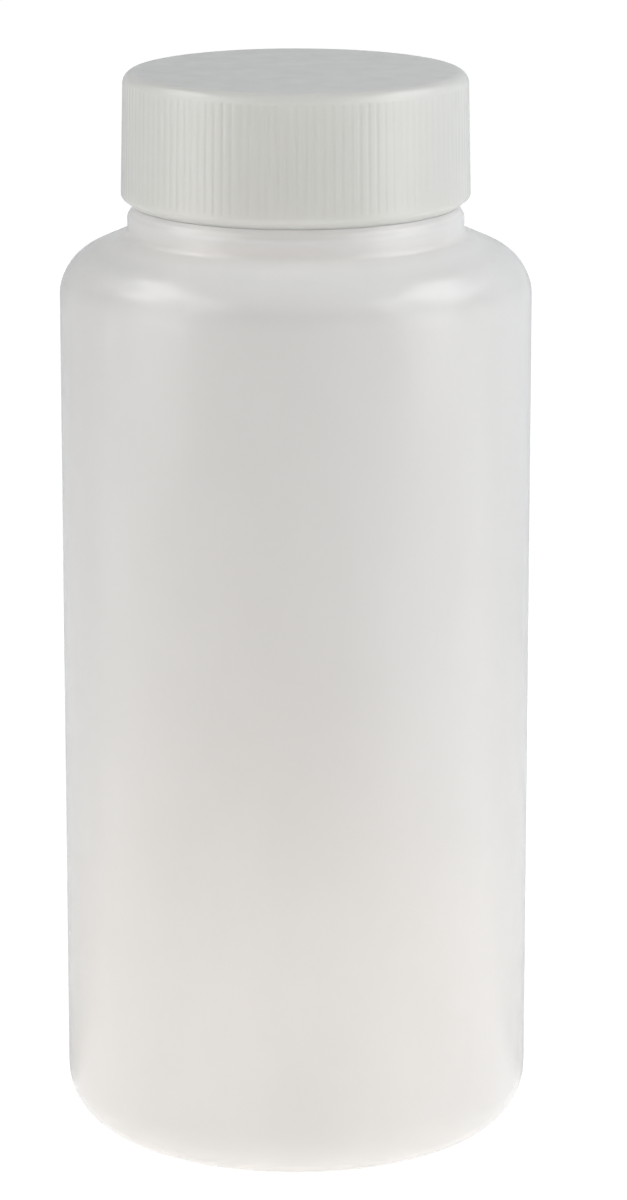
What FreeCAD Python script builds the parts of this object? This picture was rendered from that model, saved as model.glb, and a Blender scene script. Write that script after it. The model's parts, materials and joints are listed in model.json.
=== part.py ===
"""Wide-mouth laboratory reagent bottle: a blow-moulded bottle, a ribbed screw cap and a sealing disc.

The frame is in millimetres. The bottle stands on the plane z = 0 with its axis on Z.
All three pieces are turned about that axis. The cap is drawn screwed down tight on the disc.
"""

import FreeCAD, Part

import math
import os

import Sketcher

# Driving sizes, in millimetres and degrees
SIZES = {
    # The bottle's body
    "overall_height": 212.0,
    "body_diameter": 92.0,
    "body_wall": 1.8,
    "base_thickness": 2.4,
    "heel_radius": 11.0,
    "foot_width": 5.0,
    "push_up_height": 3.0,
    "push_up_run": 6.0,
    "shoulder_radius": 10.0,
    "shoulder_slope": 24.0,
    # The neck, with its bead's place measured down from the lip
    "neck_diameter": 60.1,
    "neck_wall": 2.55,
    "bead_height": 2.75,
    "bead_depth": 24.5,
    "bead_width": 2.95,
    "bead_rise": 4.3,
    "bead_bevel": 0.4,
    "bead_undercut": 0.3,
    # The room between the neck and the cap's bore, for the screw thread
    "thread_height": 1.2,
    "thread_clearance": 0.4,
    # The cap
    "cap_wall": 2.35,
    "cap_draft": 1.25,
    "cap_top": 2.0,
    "cap_edge_radius": 1.8,
    "cap_rim_land": 0.2,
    "cap_rim_bevel": 1.6,
    "cap_rim_gap": 0.5,
    "rib_margin": 1.0,
    "rib_count": 120,
    "rib_depth": 0.3,
    "rib_valley_width": 1.1,
    # The sealing disc
    "liner_thickness": 1.6,
    "liner_clearance": 0.35,
}

# How far the cutter of a rib's valley stands out past the cap
CUTTER_MARGIN = 0.5

# How many flats round the cap's top edge
EDGE_FLATS = 2

# Radii, as expressions on the sheet's cells. The cap clears the neck's thread at its bore.
BODY_R = "(dims.body_diameter / 2)"
INNER_R = f"({BODY_R} - dims.body_wall)"
FOOT_R = f"({BODY_R} - dims.heel_radius - dims.foot_width)"
PUSH_UP_R = f"({FOOT_R} - dims.push_up_run)"
NECK_R = "(dims.neck_diameter / 2)"
MOUTH_R = f"({NECK_R} - dims.neck_wall)"
BEAD_R = f"({NECK_R} + dims.bead_height)"
GROOVE_R = f"({BEAD_R} - dims.bead_undercut)"
CAP_BORE_R = f"({NECK_R} + dims.thread_height + dims.thread_clearance)"
RIM_R = f"({CAP_BORE_R} + dims.cap_rim_land)"
CAP_R = f"({CAP_BORE_R} + dims.cap_wall)"
LINER_R = f"({CAP_BORE_R} - dims.liner_clearance)"

# Heights, from the cap's top down to the groove under the neck's bead
CAP_UNDER_Z = "(dims.overall_height - dims.cap_top)"
LIP_Z = f"({CAP_UNDER_Z} - dims.liner_thickness)"
BEAD_TOP_Z = f"({LIP_Z} - dims.bead_depth)"
BEAD_LOW_Z = f"({BEAD_TOP_Z} - dims.bead_width)"
NECK_FOOT_Z = f"({BEAD_TOP_Z} + dims.bead_rise)"
GROOVE_Z = f"({BEAD_LOW_Z} - dims.bead_undercut / 2)"

# The shoulder's cone runs down and out from that groove, with the inside one wall below it
SLOPE = "tan(dims.shoulder_slope)"
WALL_DROP = "(dims.body_wall / cos(dims.shoulder_slope))"
SHOULDER_Z = f"({GROOVE_Z} - ({BODY_R} - {GROOVE_R}) * {SLOPE})"
SHOULDER_IN_Z = f"({GROOVE_Z} - ({INNER_R} - {GROOVE_R}) * {SLOPE} - {WALL_DROP})"
MOUTH_FOOT_Z = f"({GROOVE_Z} + ({GROOVE_R} - {MOUTH_R}) * {SLOPE} - {WALL_DROP})"

# The cap's rim hangs just above the bead's sloping top, and its side draws in from there upwards
BEAD_SLOPE = "(dims.bead_rise / dims.bead_height)"
RIM_Z = f"({BEAD_TOP_Z} + ({BEAD_R} - {CAP_BORE_R}) * {BEAD_SLOPE} + dims.cap_rim_gap)"
SKIRT_Z = f"({RIM_Z} + dims.cap_rim_bevel)"
DRAFT = "tan(dims.cap_draft)"
EDGE_Z = "(dims.overall_height - dims.cap_edge_radius)"
EDGE_R = f"({CAP_R} - ({EDGE_Z} - {SKIRT_Z}) * {DRAFT})"

# The ribs stop a margin above the rim's bevel and a margin below the rounded top edge
RIB_LOW_Z = f"({SKIRT_Z} + dims.rib_margin)"
RIB_LOW_R = f"({CAP_R} - dims.rib_margin * {DRAFT})"
RIB_HIGH_Z = f"({EDGE_Z} - dims.rib_margin)"
RIB_HIGH_R = f"({EDGE_R} + dims.rib_margin * {DRAFT})"

doc = FreeCAD.newDocument("reagent_bottle")
dims = doc.addObject("Spreadsheet::Sheet", "dims")


def fill_sheet():
    """Write each driving size into the sheet, beside its name, under an alias."""
    for row, (name, value) in enumerate(SIZES.items(), start=1):
        dims.set(f"A{row}", name)
        dims.set(f"B{row}", str(value))
        dims.setAlias(f"B{row}", name)
    doc.recompute()


def number(expression):
    """The present value of an expression on the sheet."""
    return float(dims.evalExpression(expression))


def new_body(name):
    """An empty body whose label names the piece."""
    body = doc.addObject("PartDesign::Body", name)
    body.Label = name
    return body


def origin_feature(body, role):
    """One of the body's own origin planes or axes."""
    return next(feature for feature in body.Origin.OriginFeatures if feature.Role == role)


def new_sketch(body, name, plane):
    """A sketch on one of the body's origin planes."""
    sketch = body.newObject("Sketcher::SketchObject", name)
    sketch.AttachmentSupport = [(origin_feature(body, plane), "")]
    sketch.MapMode = "FlatFace"
    return sketch


def bind(sketch, kind, elements, expression, name):
    """Add a dimension to the sketch and tie its value to the sheet."""
    index = sketch.addConstraint(Sketcher.Constraint(kind, *elements, number(expression)))
    sketch.renameConstraint(index, name)
    sketch.setExpression(f"Constraints.{name}", expression)


def place_point(sketch, geometry, position, corner):
    """Tie a sketch point to a corner's two expressions, measured from the sketch's origin."""
    name, across, up = corner[:3]
    for kind, axis, expression in (("DistanceX", -2, across), ("DistanceY", -1, up)):
        if expression == "0":
            sketch.addConstraint(Sketcher.Constraint("PointOnObject", geometry, position, axis))
        else:
            bind(sketch, kind, (-1, 1, geometry, position), expression, f"{name}_{kind[-1].lower()}")


def corner_arc(before, here, after, radius):
    """The arc that rounds a corner: its first and last point, its curve and whether it turns left."""
    incoming = (here - before).normalize()
    outgoing = (after - here).normalize()
    turn = math.atan2(incoming.cross(outgoing).z, incoming.dot(outgoing))
    reach = radius * math.tan(abs(turn) / 2)
    first = here - incoming * reach
    last = here + outgoing * reach
    left = FreeCAD.Vector(-incoming.y, incoming.x, 0)
    centre = first + left * math.copysign(radius, turn)
    start = first if turn > 0 else last
    start_angle = math.atan2(start.y - centre.y, start.x - centre.x)
    circle = Part.Circle(centre, FreeCAD.Vector(0, 0, 1), radius)
    return first, last, Part.ArcOfCircle(circle, start_angle, start_angle + abs(turn)), turn > 0


def draw_outline(sketch, corners):
    """Draw a closed outline through named corners: (name, across, up) or (name, across, up, radius)."""
    points = [FreeCAD.Vector(number(corner[1]), number(corner[2]), 0) for corner in corners]
    count = len(corners)
    arcs = {}
    for i, corner in enumerate(corners):
        if len(corner) == 4:
            arcs[i] = corner_arc(points[i - 1], points[i], points[(i + 1) % count], number(corner[3]))
    lines = []
    for i in range(count):
        after = (i + 1) % count
        begin = arcs[i][1] if i in arcs else points[i]
        end = arcs[after][0] if after in arcs else points[after]
        lines.append(sketch.addGeometry(Part.LineSegment(begin, end)))
    for i, corner in enumerate(corners):
        before, after = lines[i - 1], lines[i]
        if i not in arcs:
            sketch.addConstraint(Sketcher.Constraint("Coincident", before, 2, after, 1))
            place_point(sketch, after, 1, corner)
            continue
        curve, turns_left = arcs[i][2:]
        arc = sketch.addGeometry(curve)
        enters, leaves = (1, 2) if turns_left else (2, 1)
        sketch.addConstraint(Sketcher.Constraint("Tangent", before, 2, arc, enters))
        sketch.addConstraint(Sketcher.Constraint("Tangent", arc, leaves, after, 1))
        bind(sketch, "Radius", (arc,), corner[3], f"{corner[0]}_radius")
        tip = sketch.addGeometry(Part.Point(points[i]), True)
        place_point(sketch, tip, 1, corner)
        sketch.addConstraint(Sketcher.Constraint("PointOnObject", tip, 1, before))
        sketch.addConstraint(Sketcher.Constraint("PointOnObject", tip, 1, after))


def turn_profile(body, corners):
    """Turn an outline in the XZ plane once about the Z axis."""
    sketch = new_sketch(body, "Profile", "XZ_Plane")
    draw_outline(sketch, corners)
    turned = body.newObject("PartDesign::Revolution", "Turned")
    turned.Profile = sketch
    turned.ReferenceAxis = (sketch, ["V_Axis"])
    turned.Angle = 360.0
    doc.recompute()


def flat_leg(outer_radius, turn):
    """How far from an inner corner a flat starts that touches the middle of the round one wall inside."""
    return f"(({outer_radius} - dims.body_wall) * (1 / cos({turn} / 2) - 1) / sin({turn} / 2))"


def make_bottle():
    """The bottle: a base with a push-up, a straight wall, a sloping shoulder, a bead and a wide neck."""
    body = new_body("bottle")
    inner_base_z = "(dims.push_up_height + dims.base_thickness)"
    heel_leg = flat_leg("dims.heel_radius", "90")
    shoulder_leg = flat_leg("dims.shoulder_radius", "(90 - dims.shoulder_slope)")
    flat_in_r = f"({INNER_R} - {shoulder_leg} * cos(dims.shoulder_slope))"
    flat_top_z = f"({SHOULDER_IN_Z} + {shoulder_leg} * sin(dims.shoulder_slope))"
    turn_profile(
        body,
        [
            ("base_middle", "0", "dims.push_up_height"),
            ("push_up", PUSH_UP_R, "dims.push_up_height"),
            ("foot", FOOT_R, "0"),
            ("heel", BODY_R, "0", "dims.heel_radius"),
            ("shoulder", BODY_R, SHOULDER_Z, "dims.shoulder_radius"),
            ("groove", GROOVE_R, GROOVE_Z),
            ("bead_low", BEAD_R, BEAD_LOW_Z),
            ("bead_side", BEAD_R, f"({BEAD_TOP_Z} - dims.bead_bevel)"),
            ("bead_top", f"({BEAD_R} - dims.bead_bevel)", f"({BEAD_TOP_Z} + dims.bead_bevel * {BEAD_SLOPE})"),
            ("neck_foot", NECK_R, NECK_FOOT_Z),
            ("lip_outer", NECK_R, LIP_Z),
            ("lip_inner", MOUTH_R, LIP_Z),
            ("mouth_foot", MOUTH_R, MOUTH_FOOT_Z),
            ("shoulder_flat_top", flat_in_r, flat_top_z),
            ("shoulder_flat_foot", INNER_R, f"({SHOULDER_IN_Z} - {shoulder_leg})"),
            ("heel_flat_top", INNER_R, f"(dims.base_thickness + {heel_leg})"),
            ("heel_flat_foot", f"({INNER_R} - {heel_leg})", "dims.base_thickness"),
            ("foot_inner", FOOT_R, "dims.base_thickness"),
            ("push_up_inner", PUSH_UP_R, inner_base_z),
            ("base_inner_middle", "0", inner_base_z),
        ],
    )
    return body


def valley_section(body, name, radius, height):
    """A valley's level section at one height of the cap's side, in proportion to its radius there."""
    sketch = new_sketch(body, name, "XY_Plane")
    sketch.setExpression("AttachmentOffset.Base.z", height)
    scale = f"({radius} / {CAP_R})"
    mouth_r = f"(({CAP_R} + {CUTTER_MARGIN}) * {scale})"
    mouth = f"(dims.rib_valley_width / 2 * (1 + {CUTTER_MARGIN} / dims.rib_depth) * {scale})"
    draw_outline(
        sketch,
        [
            ("floor", f"(({CAP_R} - dims.rib_depth) * {scale})", "0"),
            ("mouth_right", mouth_r, f"-{mouth}"),
            ("mouth_left", mouth_r, mouth),
        ],
    )
    return sketch


def cut_valleys(body):
    """Cut one valley along the cap's tapered side and repeat it round the cap, to leave the ribs."""
    smooth_volume = body.Shape.Volume
    low = valley_section(body, "ValleyLow", RIB_LOW_R, RIB_LOW_Z)
    high = valley_section(body, "ValleyHigh", RIB_HIGH_R, RIB_HIGH_Z)
    valley = body.newObject("PartDesign::SubtractiveLoft", "Valley")
    valley.Profile = low
    valley.Sections = [high]
    valley.Ruled = True
    doc.recompute()
    ring = body.newObject("PartDesign::PolarPattern", "Ribs")
    ring.Originals = [valley]
    ring.Axis = (origin_feature(body, "Z_Axis"), [""])
    ring.Angle = 360.0
    ring.setExpression("Occurrences", "dims.rib_count")
    body.Tip = ring
    doc.recompute()
    if body.Shape.Volume >= smooth_volume:
        raise RuntimeError("the rib valleys cut nothing")


def edge_corners():
    """The corners of the flats that round the cap's top edge, from its side to its top."""
    corners = []
    for i in range(EDGE_FLATS + 1):
        angle = i * 90 / EDGE_FLATS
        across = f"({EDGE_R} - dims.cap_edge_radius * (1 - cos({angle})))"
        up = f"({EDGE_Z} + dims.cap_edge_radius * sin({angle}))"
        corners.append((f"edge_{i}", across, up))
    return corners


def make_cap():
    """The cap: a flat top with a rounded edge and a tapered, ribbed skirt."""
    body = new_body("screw_cap")
    turn_profile(
        body,
        [
            ("under_middle", "0", CAP_UNDER_Z),
            ("under_corner", CAP_BORE_R, CAP_UNDER_Z),
            ("rim_inner", CAP_BORE_R, RIM_Z),
            ("rim_outer", RIM_R, RIM_Z),
            ("skirt", CAP_R, SKIRT_Z),
            *edge_corners(),
            ("top_middle", "0", "dims.overall_height"),
        ],
    )
    cut_valleys(body)
    return body


def make_liner():
    """The sealing disc, loose in the cap between its underside and the bottle's lip."""
    body = new_body("cap_liner")
    turn_profile(
        body,
        [
            ("seal_middle", "0", LIP_Z),
            ("seal_edge", LINER_R, LIP_Z),
            ("back_edge", LINER_R, CAP_UNDER_Z),
            ("back_middle", "0", CAP_UNDER_Z),
        ],
    )
    return body


def check(pieces):
    """Stop if any object failed to build, or a piece isn't one valid solid."""
    for item in doc.Objects:
        if "Invalid" in item.State or "Error" in item.State:
            raise RuntimeError(f"{item.Name} failed: {item.State}")
    for piece in pieces:
        shape = piece.Shape
        if shape.isNull() or not shape.isValid() or len(shape.Solids) != 1:
            raise RuntimeError(f"{piece.Label} isn't one valid solid")
        print(piece.Label, "volume", round(shape.Volume / 1000, 2), "cm3,", len(shape.Faces), "faces")


def main():
    """Build the three pieces, check them and write one file for each."""
    fill_sheet()
    pieces = [make_bottle(), make_cap(), make_liner()]
    doc.recompute()
    check(pieces)
    os.makedirs("parts", exist_ok=True)
    for piece in pieces:
        piece.Shape.exportStep(os.path.join("parts", f"{piece.Label}.step"))


main()
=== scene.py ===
"""Looks of the wide-mouth reagent bottle: milky translucent plastic, screw threads, mould marks, studio.

Every length is in metres, in the part's own frame: +Z up, the bottle standing on z = 0.
"""

import json
import math

import bmesh
import bpy
from mathutils import Matrix, Vector


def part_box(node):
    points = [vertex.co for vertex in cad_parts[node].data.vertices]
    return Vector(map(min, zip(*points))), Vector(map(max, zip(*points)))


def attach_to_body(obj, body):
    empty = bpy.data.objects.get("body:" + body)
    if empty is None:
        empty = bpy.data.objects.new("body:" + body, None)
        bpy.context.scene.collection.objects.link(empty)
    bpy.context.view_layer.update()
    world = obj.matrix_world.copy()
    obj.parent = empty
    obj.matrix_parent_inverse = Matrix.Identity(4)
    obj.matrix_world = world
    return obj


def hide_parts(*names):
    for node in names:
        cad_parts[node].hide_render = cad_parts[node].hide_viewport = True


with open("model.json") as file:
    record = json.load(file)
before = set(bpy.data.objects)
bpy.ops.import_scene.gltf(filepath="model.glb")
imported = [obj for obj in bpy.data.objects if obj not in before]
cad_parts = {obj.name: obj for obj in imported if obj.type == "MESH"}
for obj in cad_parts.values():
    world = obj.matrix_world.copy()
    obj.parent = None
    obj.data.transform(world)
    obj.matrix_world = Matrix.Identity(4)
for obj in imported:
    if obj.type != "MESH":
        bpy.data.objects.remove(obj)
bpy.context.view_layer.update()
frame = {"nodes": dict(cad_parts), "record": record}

MM = 0.001

# Sizes read from the frame
BODY_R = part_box("bottle")[1].x
LIP_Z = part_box("bottle")[1].z
CAP_RIM_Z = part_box("screw_cap")[0].z
CAP_TOP_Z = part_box("screw_cap")[1].z
CAP_UNDER_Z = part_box("cap_liner")[1].z
LEAD_PER_RADIAN = frame["record"]["behaviour"]["couplings"][0]["ratio"]

# The bottle's other sizes, as the solids have them
BODY_WALL = 1.8 * MM
BASE_THICKNESS = 2.4 * MM
HEEL_RADIUS = 11 * MM
FOOT_R = 30 * MM
PUSH_UP_R = 24 * MM
PUSH_UP_HEIGHT = 3 * MM
SHOULDER_RADIUS = 10 * MM
SHOULDER_SLOPE = math.radians(24)
NECK_R = 30.05 * MM
MOUTH_R = 27.5 * MM
BEAD_R = 32.8 * MM
BEAD_TOP_Z = LIP_Z - 24.5 * MM
BEAD_WIDTH = 2.95 * MM
BEAD_UNDERCUT = 0.3 * MM

# Where the shoulder's cone meets the bead's side, with the groove between them filled
GROOVE_Z = BEAD_TOP_Z - BEAD_WIDTH - BEAD_UNDERCUT / 2
BEAD_FOOT_Z = GROOVE_Z - BEAD_UNDERCUT * math.tan(SHOULDER_SLOPE)

# The cap's other sizes, as the solids have them
CAP_R = 34 * MM
CAP_BORE_R = 31.65 * MM
CAP_RIM_R = 31.85 * MM
CAP_SKIRT_Z = CAP_RIM_Z + 1.6 * MM
CAP_DRAFT = math.radians(1.25)

# The neck's foot, which closes up to the cap's rim where the solids leave a gap
THROAT_R = 31.9 * MM
THROAT_Z = BEAD_TOP_Z + 1.4 * MM
LEDGE_R = CAP_RIM_R
LEDGE_Z = CAP_RIM_Z - 0.05 * MM
LEDGE_WIDTH = 0.4 * MM
NECK_FOOT_Z = BEAD_TOP_Z + 5.2 * MM

# The small roundings of a moulded bottle, which the solids leave out
PUSH_UP_BLEND = 5 * MM
FOOT_BLEND = 1.2 * MM
BEAD_FOOT_BLEND = 1.6 * MM
BEAD_TOP_BLEND = 1.6 * MM
THROAT_BLEND = 1 * MM
NECK_BLEND = 0.8 * MM
LIP_BLEND = 0.6 * MM
MOUTH_BLEND = 4 * MM

# The cap's roundings, with a softer top edge than the solid's flats
CAP_EDGE_RADIUS = 2.4 * MM
CAP_SKIRT_BLEND = 1.0 * MM
CAP_INNER_BLEND = 0.3 * MM
CAP_RIM_BLEND = 0.08 * MM

# The ribs round the cap, as faint as the photograph's, with half of a valley's width as a share of the pitch
RIB_COUNT = 120
RIB_DEPTH = 0.07 * MM
RIB_MARGIN = 1 * MM
RIB_FADE = 0.5 * MM
RIB_STEPS = 8
RIB_VALLEY_HALF = 0.31

# The line that the two halves of the blow mould leave up each side, and where its width is cut
SEAM_HEIGHT = 0.09 * MM
SEAM_HALF_WIDTH = 0.35 * MM
SEAM_CUTS = (-1, -0.5, 0.5, 1)

# The screw thread's ridges on the neck and in the cap's bore, whose crests narrow to a share at their ends
THREAD_CLEARANCE = 0.4 * MM
THREAD_CREST = 1.4 * MM
THREAD_END_CREST = 0.35
THREAD_ROUNDING = 0.25 * MM
THREAD_FLANK = math.radians(30)
THREAD_TURNS = 1.5
THREAD_TOP_DROP = 3.4 * MM
THREAD_SUNK = 0.3 * MM
THREAD_FADE = math.radians(28)
THREAD_STEPS_PER_TURN = 120

# Bands of painted light, as middle height, reach up and down, and factor: the plastic is painted paler on the
# shoulder, for light that gathers there, and at the cap's rim with the neck beside it, for the light caught
# in the crease between them
SHOULDER_PAINTED_LIGHT = (179 * MM, 7 * MM, 1.2)
RIM_PAINTED_LIGHT = (CAP_RIM_Z, 1.7 * MM, 1.26)

# How finely round shapes are cut, which edges stay sharp, and how near the axis counts as on it
ARC_STEP = math.radians(7.5)
ROUND_STEPS = 192
SHARP_ANGLE = math.radians(40)
ON_AXIS = 1e-9

# The photograph's camera, in its 627 by 1200 frame
PHOTO_HEIGHT_PX = 1200
FOCAL_PX = 5002.0
SENSOR_WIDTH = 36.0
CAMERA_DISTANCE = 0.9623
CAMERA_HEIGHT = 0.3455
CAMERA_PITCH = math.radians(13.946)
CAMERA_YAW = math.radians(0.205)

# The white floor, a hair below the bottle so that it never lies in the plane of the foot
FLOOR_RADIUS = 20.0
FLOOR_SEGMENTS = 96
FLOOR_DROP = 0.05 * MM

# The grey card behind the object, as points (distance from the axis, height)
CARD_PROFILE = ((0.05, 0.0015), (0.2, 0.006), (0.3, 0.03), (0.35, 0.09), (0.36, 0.2), (0.36, 0.52))
CARD_SPREAD = math.radians(80)
CARD_STEPS = 48

# The lamps' colours
WHITE = (1, 1, 1)
LEFT_COOL = (0.86, 0.93, 1.0)
RIGHT_COOL = (0.83, 0.91, 1.0)


def new_object(name, data):
    """Put a mesh, a lamp or a camera in the scene as an object of that name."""
    piece = bpy.data.objects.new(name, data)
    bpy.context.scene.collection.objects.link(piece)
    return piece


def add_node(tree, kind, **inputs):
    """Add a shader node and set its inputs by name, with spaces written as underscores."""
    node = tree.nodes.new(kind)
    for key, value in inputs.items():
        node.inputs[key.replace("_", " ")].default_value = value
    return node


def new_material(name):
    """An empty node material: its tree and its principled shader, wired to the output."""
    material = bpy.data.materials.new(name)
    material.use_nodes = True
    tree = material.node_tree
    tree.nodes.clear()
    shader = tree.nodes.new("ShaderNodeBsdfPrincipled")
    output = tree.nodes.new("ShaderNodeOutputMaterial")
    tree.links.new(shader.outputs["BSDF"], output.inputs["Surface"])
    return material, tree, shader


def noise(tree, coordinates, scale, detail, squeeze=(1, 1, 1)):
    """A noise texture in the part's frame, drawn out along each axis whose squeeze is under one."""
    mapping = add_node(tree, "ShaderNodeMapping", Scale=squeeze)
    tree.links.new(coordinates, mapping.inputs["Vector"])
    texture = add_node(tree, "ShaderNodeTexNoise", Scale=scale, Detail=detail, Roughness=0.55)
    tree.links.new(mapping.outputs["Vector"], texture.inputs["Vector"])
    return texture.outputs["Fac"]


def spread(tree, value, low, high, low_in=0.3, high_in=0.7):
    """Map a value's range, which is that of noise unless given, onto the range from low to high."""
    node = add_node(tree, "ShaderNodeMapRange", From_Min=low_in, From_Max=high_in, To_Min=low, To_Max=high)
    tree.links.new(value, node.inputs["Value"])
    return node.outputs["Result"]


def calculate(tree, operation, first, second=None):
    """A math node on one value or on two."""
    node = tree.nodes.new("ShaderNodeMath")
    node.operation = operation
    tree.links.new(first, node.inputs[0])
    if second is not None:
        tree.links.new(second, node.inputs[1])
    return node


def axis_value(tree, coordinates, axis):
    """One of the three values of some coordinates."""
    parts = tree.nodes.new("ShaderNodeSeparateXYZ")
    tree.links.new(coordinates, parts.inputs["Vector"])
    return parts.outputs[axis]


def blend_colours(tree, factor, first, second):
    """A colour between two, by a factor."""
    mix = tree.nodes.new("ShaderNodeMix")
    mix.data_type = "RGBA"
    mix.inputs["A"].default_value = (*first, 1)
    mix.inputs["B"].default_value = (*second, 1)
    tree.links.new(factor, mix.inputs["Factor"])
    return mix.outputs["Result"]


def blend_shaders(tree, factor, first, second):
    """A shader between two, by a factor."""
    mix = tree.nodes.new("ShaderNodeMixShader")
    tree.links.new(factor, mix.inputs["Fac"])
    tree.links.new(first, mix.inputs[1])
    tree.links.new(second, mix.inputs[2])
    return mix.outputs["Shader"]


def bump(tree, height, distance, strength, normal=None):
    """A bump node on a height, over another bump if one is given."""
    node = add_node(tree, "ShaderNodeBump", Strength=strength, Distance=distance)
    tree.links.new(height, node.inputs["Height"])
    if normal is not None:
        tree.links.new(normal, node.inputs["Normal"])
    return node.outputs["Normal"]


def paler(tree, colour, up, middle, reach, factor):
    """A colour scaled by a factor at a middle height, and by less up to a reach above and below it: a band of
    painted light.
    """
    above = calculate(tree, "SUBTRACT", up)
    above.inputs[1].default_value = middle
    away = calculate(tree, "ABSOLUTE", above.outputs["Value"])
    scaled = tree.nodes.new("ShaderNodeVectorMath")
    scaled.operation = "SCALE"
    tree.links.new(colour, scaled.inputs[0])
    tree.links.new(spread(tree, away.outputs["Value"], factor, 1, 0, reach), scaled.inputs["Scale"])
    return scaled.outputs["Vector"]


def natural_plastic(name, clear, cloudy, painted_light_bands, scatter, streaks):
    """Milky unpigmented plastic: cloudy colour with bands of painted light, uneven gloss, orange peel and,
    where blown, long streaks.
    """
    material, tree, shader = new_material(name)
    place = tree.nodes.new("ShaderNodeTexCoord").outputs["Object"]
    clouds = noise(tree, place, scale=38, detail=3, squeeze=(1, 1, 0.45))
    colour = blend_colours(tree, spread(tree, clouds, 0, 1), clear, cloudy)
    up = axis_value(tree, place, "Z")
    # Painted light: the colour is made paler in each band
    for middle, reach, factor in painted_light_bands:
        colour = paler(tree, colour, up, middle, reach, factor)
    tree.links.new(colour, shader.inputs["Base Color"])
    gloss = noise(tree, place, scale=160, detail=4)
    tree.links.new(spread(tree, gloss, low=0.2, high=0.26), shader.inputs["Roughness"])
    shader.inputs["IOR"].default_value = 1.51
    shader.inputs["Subsurface Weight"].default_value = 1.0
    shader.inputs["Subsurface Radius"].default_value = (1, 1, 1)
    shader.inputs["Subsurface Scale"].default_value = scatter
    peel = noise(tree, place, scale=900, detail=2)
    normal = bump(tree, peel, distance=0.03 * MM, strength=0.25)
    if streaks:
        lines = noise(tree, place, scale=260, detail=2, squeeze=(1, 1, 0.02))
        normal = bump(tree, lines, distance=0.04 * MM, strength=streaks, normal=normal)
    tree.links.new(normal, shader.inputs["Normal"])
    return material


def liner_foam():
    """White closed-cell foam: dull, with fine cells."""
    material, tree, shader = new_material("liner_foam")
    place = tree.nodes.new("ShaderNodeTexCoord").outputs["Object"]
    cells = add_node(tree, "ShaderNodeTexVoronoi", Scale=1800)
    tree.links.new(place, cells.inputs["Vector"])
    shade = spread(tree, cells.outputs["Distance"], 0, 1, low_in=0, high_in=0.8)
    colour = blend_colours(tree, shade, (0.93, 0.93, 0.91), (0.84, 0.84, 0.82))
    tree.links.new(colour, shader.inputs["Base Color"])
    shader.inputs["Roughness"].default_value = 0.75
    shader.inputs["Subsurface Weight"].default_value = 0.3
    shader.inputs["Subsurface Radius"].default_value = (1, 1, 1)
    shader.inputs["Subsurface Scale"].default_value = 1.5 * MM
    normal = bump(tree, cells.outputs["Distance"], distance=0.06 * MM, strength=0.4)
    tree.links.new(normal, shader.inputs["Normal"])
    return material


def dress(piece, material):
    """Give a piece one material all over."""
    piece.data.materials.clear()
    piece.data.materials.append(material)


def attach(piece, material, body):
    """Dress a piece, and let it ride on a body."""
    dress(piece, material)
    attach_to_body(piece, body)


def rounded(corners):
    """The points of a profile through corners (radius from the axis, height, rounding)."""
    points = []
    for i, (across, up, radius) in enumerate(corners):
        here = Vector((across, up))
        if radius == 0:
            points.append(here)
            continue
        incoming = (here - Vector(corners[i - 1][:2])).normalized()
        outgoing = (Vector(corners[i + 1][:2]) - here).normalized()
        turn = math.atan2(incoming.cross(outgoing), incoming.dot(outgoing))
        reach = radius * math.tan(abs(turn) / 2)
        start = here - incoming * reach
        inward = Vector((-incoming.y, incoming.x)) * math.copysign(radius, turn)
        centre = start + inward
        steps = max(2, round(abs(turn) / ARC_STEP))
        for k in range(steps + 1):
            spoke = -inward
            spoke.rotate(Matrix.Rotation(turn * k / steps, 2))
            points.append(centre + spoke)
    return points


def finish_mesh(name, mesh):
    """Turn a built mesh into a smooth object whose sharp edges stay sharp."""
    for face in mesh.faces:
        face.smooth = True
    data = bpy.data.meshes.new(name)
    mesh.to_mesh(data)
    mesh.free()
    data.set_sharp_from_angle(angle=SHARP_ANGLE)
    return new_object(name, data)


def lathe(name, points, angles, relief):
    """Turn a profile that starts and ends on the axis, and add a relief to each point's radius."""
    mesh = bmesh.new()
    rings = []
    for point in points:
        if point.x < ON_AXIS:
            rings.append([mesh.verts.new((0, 0, point.y))])
            continue
        ring = []
        for angle in angles:
            radius = point.x + relief(angle, point)
            ring.append(mesh.verts.new((radius * math.cos(angle), radius * math.sin(angle), point.y)))
        rings.append(ring)
    count = len(angles)
    for first, second in zip(rings, rings[1:]):
        for k in range(count):
            after = (k + 1) % count
            corners = [first[k % len(first)], first[after % len(first)]]
            corners += [second[after % len(second)], second[k % len(second)]]
            mesh.faces.new(list(dict.fromkeys(corners)))
    bmesh.ops.recalc_face_normals(mesh, faces=mesh.faces)
    return finish_mesh(name, mesh)


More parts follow.
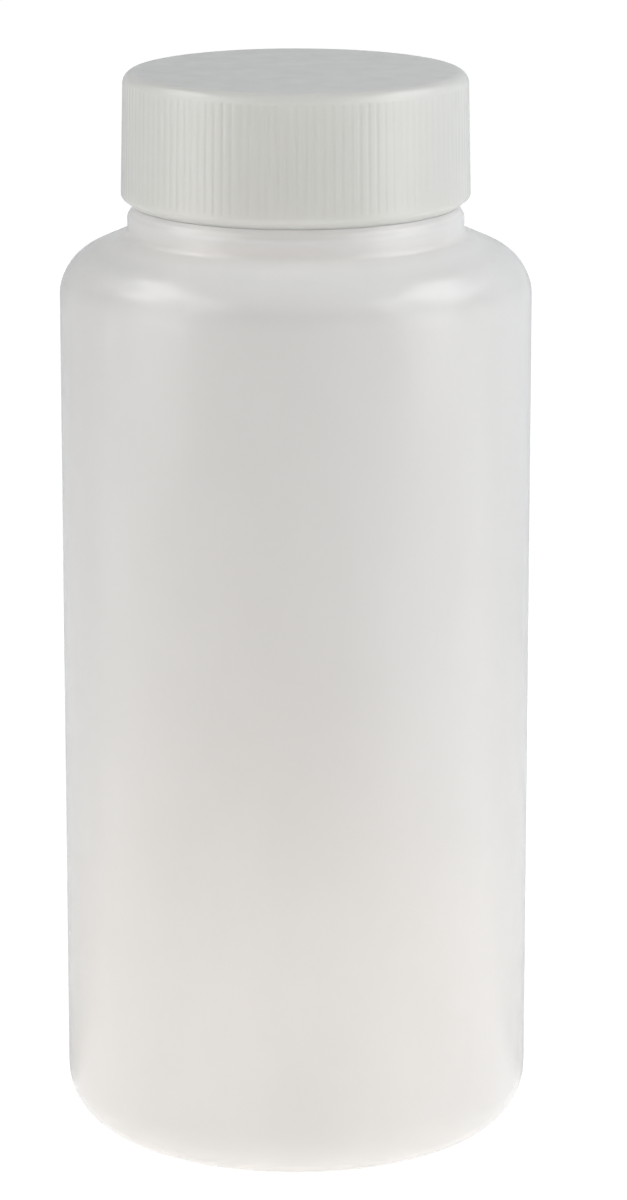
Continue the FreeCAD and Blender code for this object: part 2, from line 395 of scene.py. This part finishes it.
def make_bottle(material):
    """The blown bottle, with its small roundings and the mould's line up each side."""
    slope = math.tan(SHOULDER_SLOPE)
    wall_drop = BODY_WALL / math.cos(SHOULDER_SLOPE)
    inner_r = BODY_R - BODY_WALL
    shoulder_z = BEAD_FOOT_Z - (BODY_R - BEAD_R) * slope
    shoulder_in_z = BEAD_FOOT_Z - (inner_r - BEAD_R) * slope - wall_drop
    mouth_foot_z = BEAD_FOOT_Z + (BEAD_R - MOUTH_R) * slope - wall_drop
    inner_base_z = PUSH_UP_HEIGHT + BASE_THICKNESS
    points = rounded(
        [
            (0, PUSH_UP_HEIGHT, 0),
            (PUSH_UP_R, PUSH_UP_HEIGHT, PUSH_UP_BLEND),
            (FOOT_R, 0, FOOT_BLEND),
            (BODY_R, 0, HEEL_RADIUS),
            (BODY_R, shoulder_z, SHOULDER_RADIUS),
            (BEAD_R, BEAD_FOOT_Z, BEAD_FOOT_BLEND),
            (BEAD_R, BEAD_TOP_Z, BEAD_TOP_BLEND),
            (THROAT_R, THROAT_Z, THROAT_BLEND),
            (LEDGE_R, LEDGE_Z, 0),
            (LEDGE_R - LEDGE_WIDTH, LEDGE_Z, 0),
            (NECK_R, NECK_FOOT_Z, NECK_BLEND),
            (NECK_R, LIP_Z, LIP_BLEND),
            (MOUTH_R, LIP_Z, LIP_BLEND),
            (MOUTH_R, mouth_foot_z, MOUTH_BLEND),
            (inner_r, shoulder_in_z, SHOULDER_RADIUS - BODY_WALL),
            (inner_r, BASE_THICKNESS, HEEL_RADIUS - BODY_WALL),
            (FOOT_R, BASE_THICKNESS, PUSH_UP_BLEND),
            (PUSH_UP_R, inner_base_z, PUSH_UP_BLEND),
            (0, inner_base_z, 0),
        ]
    )
    seam = SEAM_HALF_WIDTH / BODY_R
    angles = [math.tau * k / ROUND_STEPS for k in range(ROUND_STEPS)]
    angles += [side + cut * seam for side in (0, math.pi) for cut in SEAM_CUTS]
    angles = sorted(angle % math.tau for angle in angles)

    def seam_relief(angle, point):
        """The mould's line: a low ridge on the outside of the wall, fading at heel and shoulder."""
        across = max(0, 1 - abs(math.remainder(angle, math.pi)) / seam)
        along = min(1, max(0, (point.x - inner_r) / BODY_WALL))
        return SEAM_HEIGHT * across * along

    shell = lathe("bottle_shell", points, angles, seam_relief)
    attach(shell, material, "bottle")
    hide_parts("bottle")


def make_cap(material):
    """The cap, with a round top edge, small roundings at its rim and ribs along its tapered side."""
    draft = math.tan(CAP_DRAFT)
    low_z = CAP_SKIRT_Z + RIB_MARGIN

    def side_r(height):
        """The radius of the tapered side at a height."""
        return CAP_R - (height - CAP_SKIRT_Z) * draft

    def side(height, rounding=0):
        """A corner of the profile on the tapered side."""
        return side_r(height), height, rounding

    points = rounded(
        [
            (0, CAP_UNDER_Z, 0),
            (CAP_BORE_R, CAP_UNDER_Z, CAP_INNER_BLEND),
            (CAP_BORE_R, CAP_RIM_Z, CAP_RIM_BLEND),
            (CAP_RIM_R, CAP_RIM_Z, CAP_RIM_BLEND),
            side(CAP_SKIRT_Z, CAP_SKIRT_BLEND),
            side(low_z),
            side(low_z + RIB_FADE),
            side(CAP_TOP_Z, CAP_EDGE_RADIUS),
            (0, CAP_TOP_Z, 0),
        ]
    )
    angles = [math.tau * k / (RIB_COUNT * RIB_STEPS) for k in range(RIB_COUNT * RIB_STEPS)]

    def rib_relief(angle, point):
        """How far a valley's cut lies inside the cap's side, up to where the round edge leaves it."""
        if point.x < CAP_RIM_R or point.y < low_z + RIB_FADE / 2:
            return 0
        off = abs(math.remainder(angle * RIB_COUNT / math.tau, 1))
        depth = RIB_DEPTH * (1 + math.cos(math.pi * min(1, off / RIB_VALLEY_HALF))) / 2
        return min(0, side_r(point.y) - depth - point.x)

    shell = lathe("cap_shell", points, angles, rib_relief)
    attach(shell, material, "cap")
    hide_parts("screw_cap")
    # A thin translucent cap passes light on to the neck, so this one throws no shadow on it
    shell.visible_shadow = False


def thread_ridge(name, wall_r, crest_r, start_z, material, body):
    """A helical ridge from a wall to its crest, fading into the wall at both ends."""
    outward = math.copysign(1, crest_r - wall_r)
    height = abs(crest_r - wall_r)
    flank = math.tan(THREAD_FLANK)
    mesh = bmesh.new()
    steps = round(THREAD_TURNS * THREAD_STEPS_PER_TURN)
    sweep = THREAD_TURNS * math.tau
    rings = []
    for i in range(steps + 1):
        angle = sweep * i / steps
        reach = min(angle, sweep - angle) / THREAD_FADE
        full = math.sin(min(reach, 1) * math.pi / 2)
        top = height * full
        half_crest = THREAD_CREST / 2 * (THREAD_END_CREST + (1 - THREAD_END_CREST) * full)
        half_root = half_crest + (top + THREAD_SUNK) * flank
        round_in = THREAD_ROUNDING * full
        middle = start_z + LEAD_PER_RADIAN * angle
        section = [
            (-THREAD_SUNK, -half_root),
            (top - round_in, -half_crest - round_in * flank),
            (top, -half_crest + round_in),
            (top, half_crest - round_in),
            (top - round_in, half_crest + round_in * flank),
            (-THREAD_SUNK, half_root),
        ]
        ring = []
        for out, up in section:
            radius = wall_r + outward * out
            ring.append(mesh.verts.new((radius * math.cos(angle), radius * math.sin(angle), middle + up)))
        rings.append(ring)
    for first, second in zip(rings, rings[1:]):
        for k in range(len(first)):
            after = (k + 1) % len(first)
            mesh.faces.new((first[k], first[after], second[after], second[k]))
    mesh.faces.new(rings[0])
    mesh.faces.new(rings[-1][::-1])
    bmesh.ops.recalc_face_normals(mesh, faces=mesh.faces)
    attach(finish_mesh(name, mesh), material, body)


def make_threads(bottle_plastic, cap_plastic):
    """The neck's ridge and the cap's, on one helix, with the cap's bearing from below on the neck's."""
    thread_r = CAP_BORE_R - THREAD_CLEARANCE
    cap_crest_r = NECK_R + THREAD_CLEARANCE
    neck_z = LIP_Z - THREAD_TOP_DROP - LEAD_PER_RADIAN * THREAD_TURNS * math.tau
    flank_gap = THREAD_CLEARANCE / math.cos(THREAD_FLANK)
    below = THREAD_CREST + (thread_r - cap_crest_r) * math.tan(THREAD_FLANK) + flank_gap
    thread_ridge("neck_thread", NECK_R, thread_r, neck_z, bottle_plastic, "bottle")
    thread_ridge("cap_thread", CAP_BORE_R, cap_crest_r, neck_z - below, cap_plastic, "cap")


def set_camera():
    """The photograph's camera: a long lens, a little above the cap, looking down on the bottle."""
    data = bpy.data.cameras.new("camera")
    data.sensor_width = SENSOR_WIDTH
    data.lens = FOCAL_PX / PHOTO_HEIGHT_PX * SENSOR_WIDTH
    camera = new_object("camera", data)
    camera.location = (0, -CAMERA_DISTANCE, CAMERA_HEIGHT)
    camera.rotation_euler = (math.pi / 2 - CAMERA_PITCH, 0, -CAMERA_YAW)
    bpy.context.scene.camera = camera


def seen_directly(tree):
    """One on rays that show the background itself: to the eye, in gloss and through clear stuff."""
    path = tree.nodes.new("ShaderNodeLightPath")
    total = path.outputs["Is Camera Ray"]
    for ray in ("Is Glossy Ray", "Is Transmission Ray"):
        total = calculate(tree, "MAXIMUM", total, path.outputs[ray]).outputs["Value"]
    return total


def set_world():
    """A background that is white where it is seen, and lights the object softly, a little less from above."""
    world = bpy.data.worlds.new("studio")
    world.use_nodes = True
    bpy.context.scene.world = world
    tree = world.node_tree
    tree.nodes.clear()
    up = axis_value(tree, tree.nodes.new("ShaderNodeTexCoord").outputs["Generated"], "Z")
    light = add_node(tree, "ShaderNodeBackground", Color=(1, 1, 1, 1))
    tree.links.new(spread(tree, up, 0.355, 0.295, low_in=0, high_in=1), light.inputs["Strength"])
    white = add_node(tree, "ShaderNodeBackground", Color=(1, 1, 1, 1))
    tree.links.new(spread(tree, up, 1, 0.8, low_in=0.1, high_in=0.7), white.inputs["Strength"])
    mix = blend_shaders(tree, seen_directly(tree), light.outputs["Background"], white.outputs["Background"])
    output = tree.nodes.new("ShaderNodeOutputWorld")
    tree.links.new(mix, output.inputs["Surface"])


def lit_paper(tree, grey, glow):
    """A dull sheet of a grey that also glows by itself."""
    sheet = add_node(tree, "ShaderNodeBsdfDiffuse", Color=(grey, grey, grey, 1))
    both = tree.nodes.new("ShaderNodeAddShader")
    tree.links.new(sheet.outputs["BSDF"], both.inputs[0])
    tree.links.new(glow.outputs["Emission"], both.inputs[1])
    return both.outputs["Shader"]


def floor_white():
    """White that keeps a faint shadow where it is seen, throws light back up and is clear from below."""
    material = bpy.data.materials.new("floor_white")
    material.use_nodes = True
    tree = material.node_tree
    tree.nodes.clear()
    away = tree.nodes.new("ShaderNodeVectorMath")
    away.operation = "LENGTH"
    tree.links.new(tree.nodes.new("ShaderNodeTexCoord").outputs["Object"], away.inputs[0])
    bounce = add_node(tree, "ShaderNodeEmission", Color=(1, 1, 1, 1))
    strength = spread(tree, away.outputs["Value"], 0.5, 0.2, low_in=0.15, high_in=0.9)
    tree.links.new(strength, bounce.inputs["Strength"])
    glow = add_node(tree, "ShaderNodeEmission", Color=(1, 1, 1, 1), Strength=0.93)
    unseen = lit_paper(tree, 0.9, bounce)
    seen = lit_paper(tree, 0.25, glow)
    upper_side = blend_shaders(tree, seen_directly(tree), unseen, seen)
    below = tree.nodes.new("ShaderNodeNewGeometry").outputs["Backfacing"]
    clear = tree.nodes.new("ShaderNodeBsdfTransparent").outputs["BSDF"]
    output = tree.nodes.new("ShaderNodeOutputMaterial")
    tree.links.new(blend_shaders(tree, below, upper_side, clear), output.inputs["Surface"])
    return material


def make_floor():
    """A plain white floor."""
    mesh = bmesh.new()
    bmesh.ops.create_circle(mesh, cap_ends=True, segments=FLOOR_SEGMENTS, radius=FLOOR_RADIUS)
    data = bpy.data.meshes.new("floor")
    mesh.to_mesh(data)
    mesh.free()
    floor = new_object("floor", data)
    floor.location.z = -FLOOR_DROP
    dress(floor, floor_white())


def card_grey():
    """A dull grey, paler towards the right and low down."""
    material, tree, shader = new_material("card_grey")
    place = tree.nodes.new("ShaderNodeTexCoord").outputs["Object"]
    across = spread(tree, axis_value(tree, place, "X"), 0.45, 0.75, low_in=-0.2, high_in=0.2)
    low = spread(tree, axis_value(tree, place, "Z"), 1, 0.3, low_in=0, high_in=0.16)
    lighter = calculate(tree, "MAXIMUM", across, low)
    tree.links.new(lighter.outputs["Value"], shader.inputs["Base Color"])
    shader.inputs["Roughness"].default_value = 1
    return material


def make_card():
    """A grey card round the back of the set, seen in the object's gloss alone, which draws its edges."""
    mesh = bmesh.new()
    arcs = []
    for radius, height in CARD_PROFILE:
        arc = []
        for k in range(CARD_STEPS + 1):
            angle = math.pi / 2 + CARD_SPREAD * (2 * k / CARD_STEPS - 1)
            arc.append(mesh.verts.new((radius * math.cos(angle), radius * math.sin(angle), height)))
        arcs.append(arc)
    for low, high in zip(arcs, arcs[1:]):
        for k in range(CARD_STEPS):
            mesh.faces.new((low[k], low[k + 1], high[k + 1], high[k]))
    card = finish_mesh("grey_card", mesh)
    card.visible_camera = False
    card.visible_diffuse = False
    card.visible_transmission = False
    card.visible_shadow = False
    dress(card, card_grey())


def softbox(name, place, size, power, colour, in_gloss):
    """A soft lamp turned to the bottle's middle, which lights the object or else shows in its gloss."""
    data = bpy.data.lights.new(name, "AREA")
    data.shape = "RECTANGLE"
    data.size, data.size_y = size
    data.energy = power
    data.color = colour
    lamp = new_object(name, data)
    lamp.location = place
    middle = Vector((0, 0, CAP_TOP_Z / 2))
    lamp.rotation_euler = (middle - Vector(place)).to_track_quat("-Z", "Y").to_euler()
    lamp.visible_diffuse = not in_gloss
    lamp.visible_glossy = in_gloss


def inner_glow(name, height, radius, power):
    """A small lamp on the axis for the light that gathers inside a translucent bottle, itself unseen."""
    data = bpy.data.lights.new(name, "POINT")
    data.shadow_soft_size = radius
    data.energy = power
    lamp = new_object(name, data)
    lamp.location = (0, 0, height)
    lamp.visible_camera = False
    lamp.visible_glossy = False


def set_lights():
    """A tall softbox on each side, the lamps that show in the gloss, and the light inside above the base."""
    box = {"size": (1.0, 1.6), "in_gloss": False}
    softbox("left_box", (-0.86, -0.28, 0.5), power=6.3, colour=LEFT_COOL, **box)
    softbox("right_box", (0.86, -0.28, 0.5), power=8.6, colour=RIGHT_COOL, **box)
    sheen = {"size": (0.58, 1.4), "power": 5.0, "colour": WHITE, "in_gloss": True}
    softbox("left_sheen", (-0.834, -0.337, 0.5), **sheen)
    softbox("right_sheen", (0.834, -0.337, 0.5), **sheen)
    high = {"size": (0.54, 0.46), "colour": WHITE, "in_gloss": True}
    softbox("left_high", (-0.62, 0.17, 0.76), power=2.5, **high)
    softbox("right_high", (0.62, 0.17, 0.76), power=2.3, **high)
    inner_glow("base_glow", height=0.04, radius=0.015, power=0.055)


bottle_plastic = natural_plastic(
    "bottle_plastic",
    clear=(0.73, 0.697, 0.662),
    cloudy=(0.705, 0.673, 0.639),
    # painted light on the shoulder and at the cap's rim
    painted_light_bands=(SHOULDER_PAINTED_LIGHT, RIM_PAINTED_LIGHT),
    scatter=3 * MM,
    streaks=0.12,
)
cap_plastic = natural_plastic(
    "cap_plastic",
    clear=(0.72, 0.69, 0.632),
    cloudy=(0.697, 0.668, 0.612),
    # painted light at the cap's rim
    painted_light_bands=(RIM_PAINTED_LIGHT,),
    scatter=4 * MM,
    streaks=0,
)
make_bottle(bottle_plastic)
make_cap(cap_plastic)
dress(frame["nodes"]["cap_liner"], liner_foam())
make_threads(bottle_plastic, cap_plastic)
set_camera()
set_world()
make_floor()
make_card()
set_lights()
bpy.context.scene.view_settings.view_transform = "Standard"
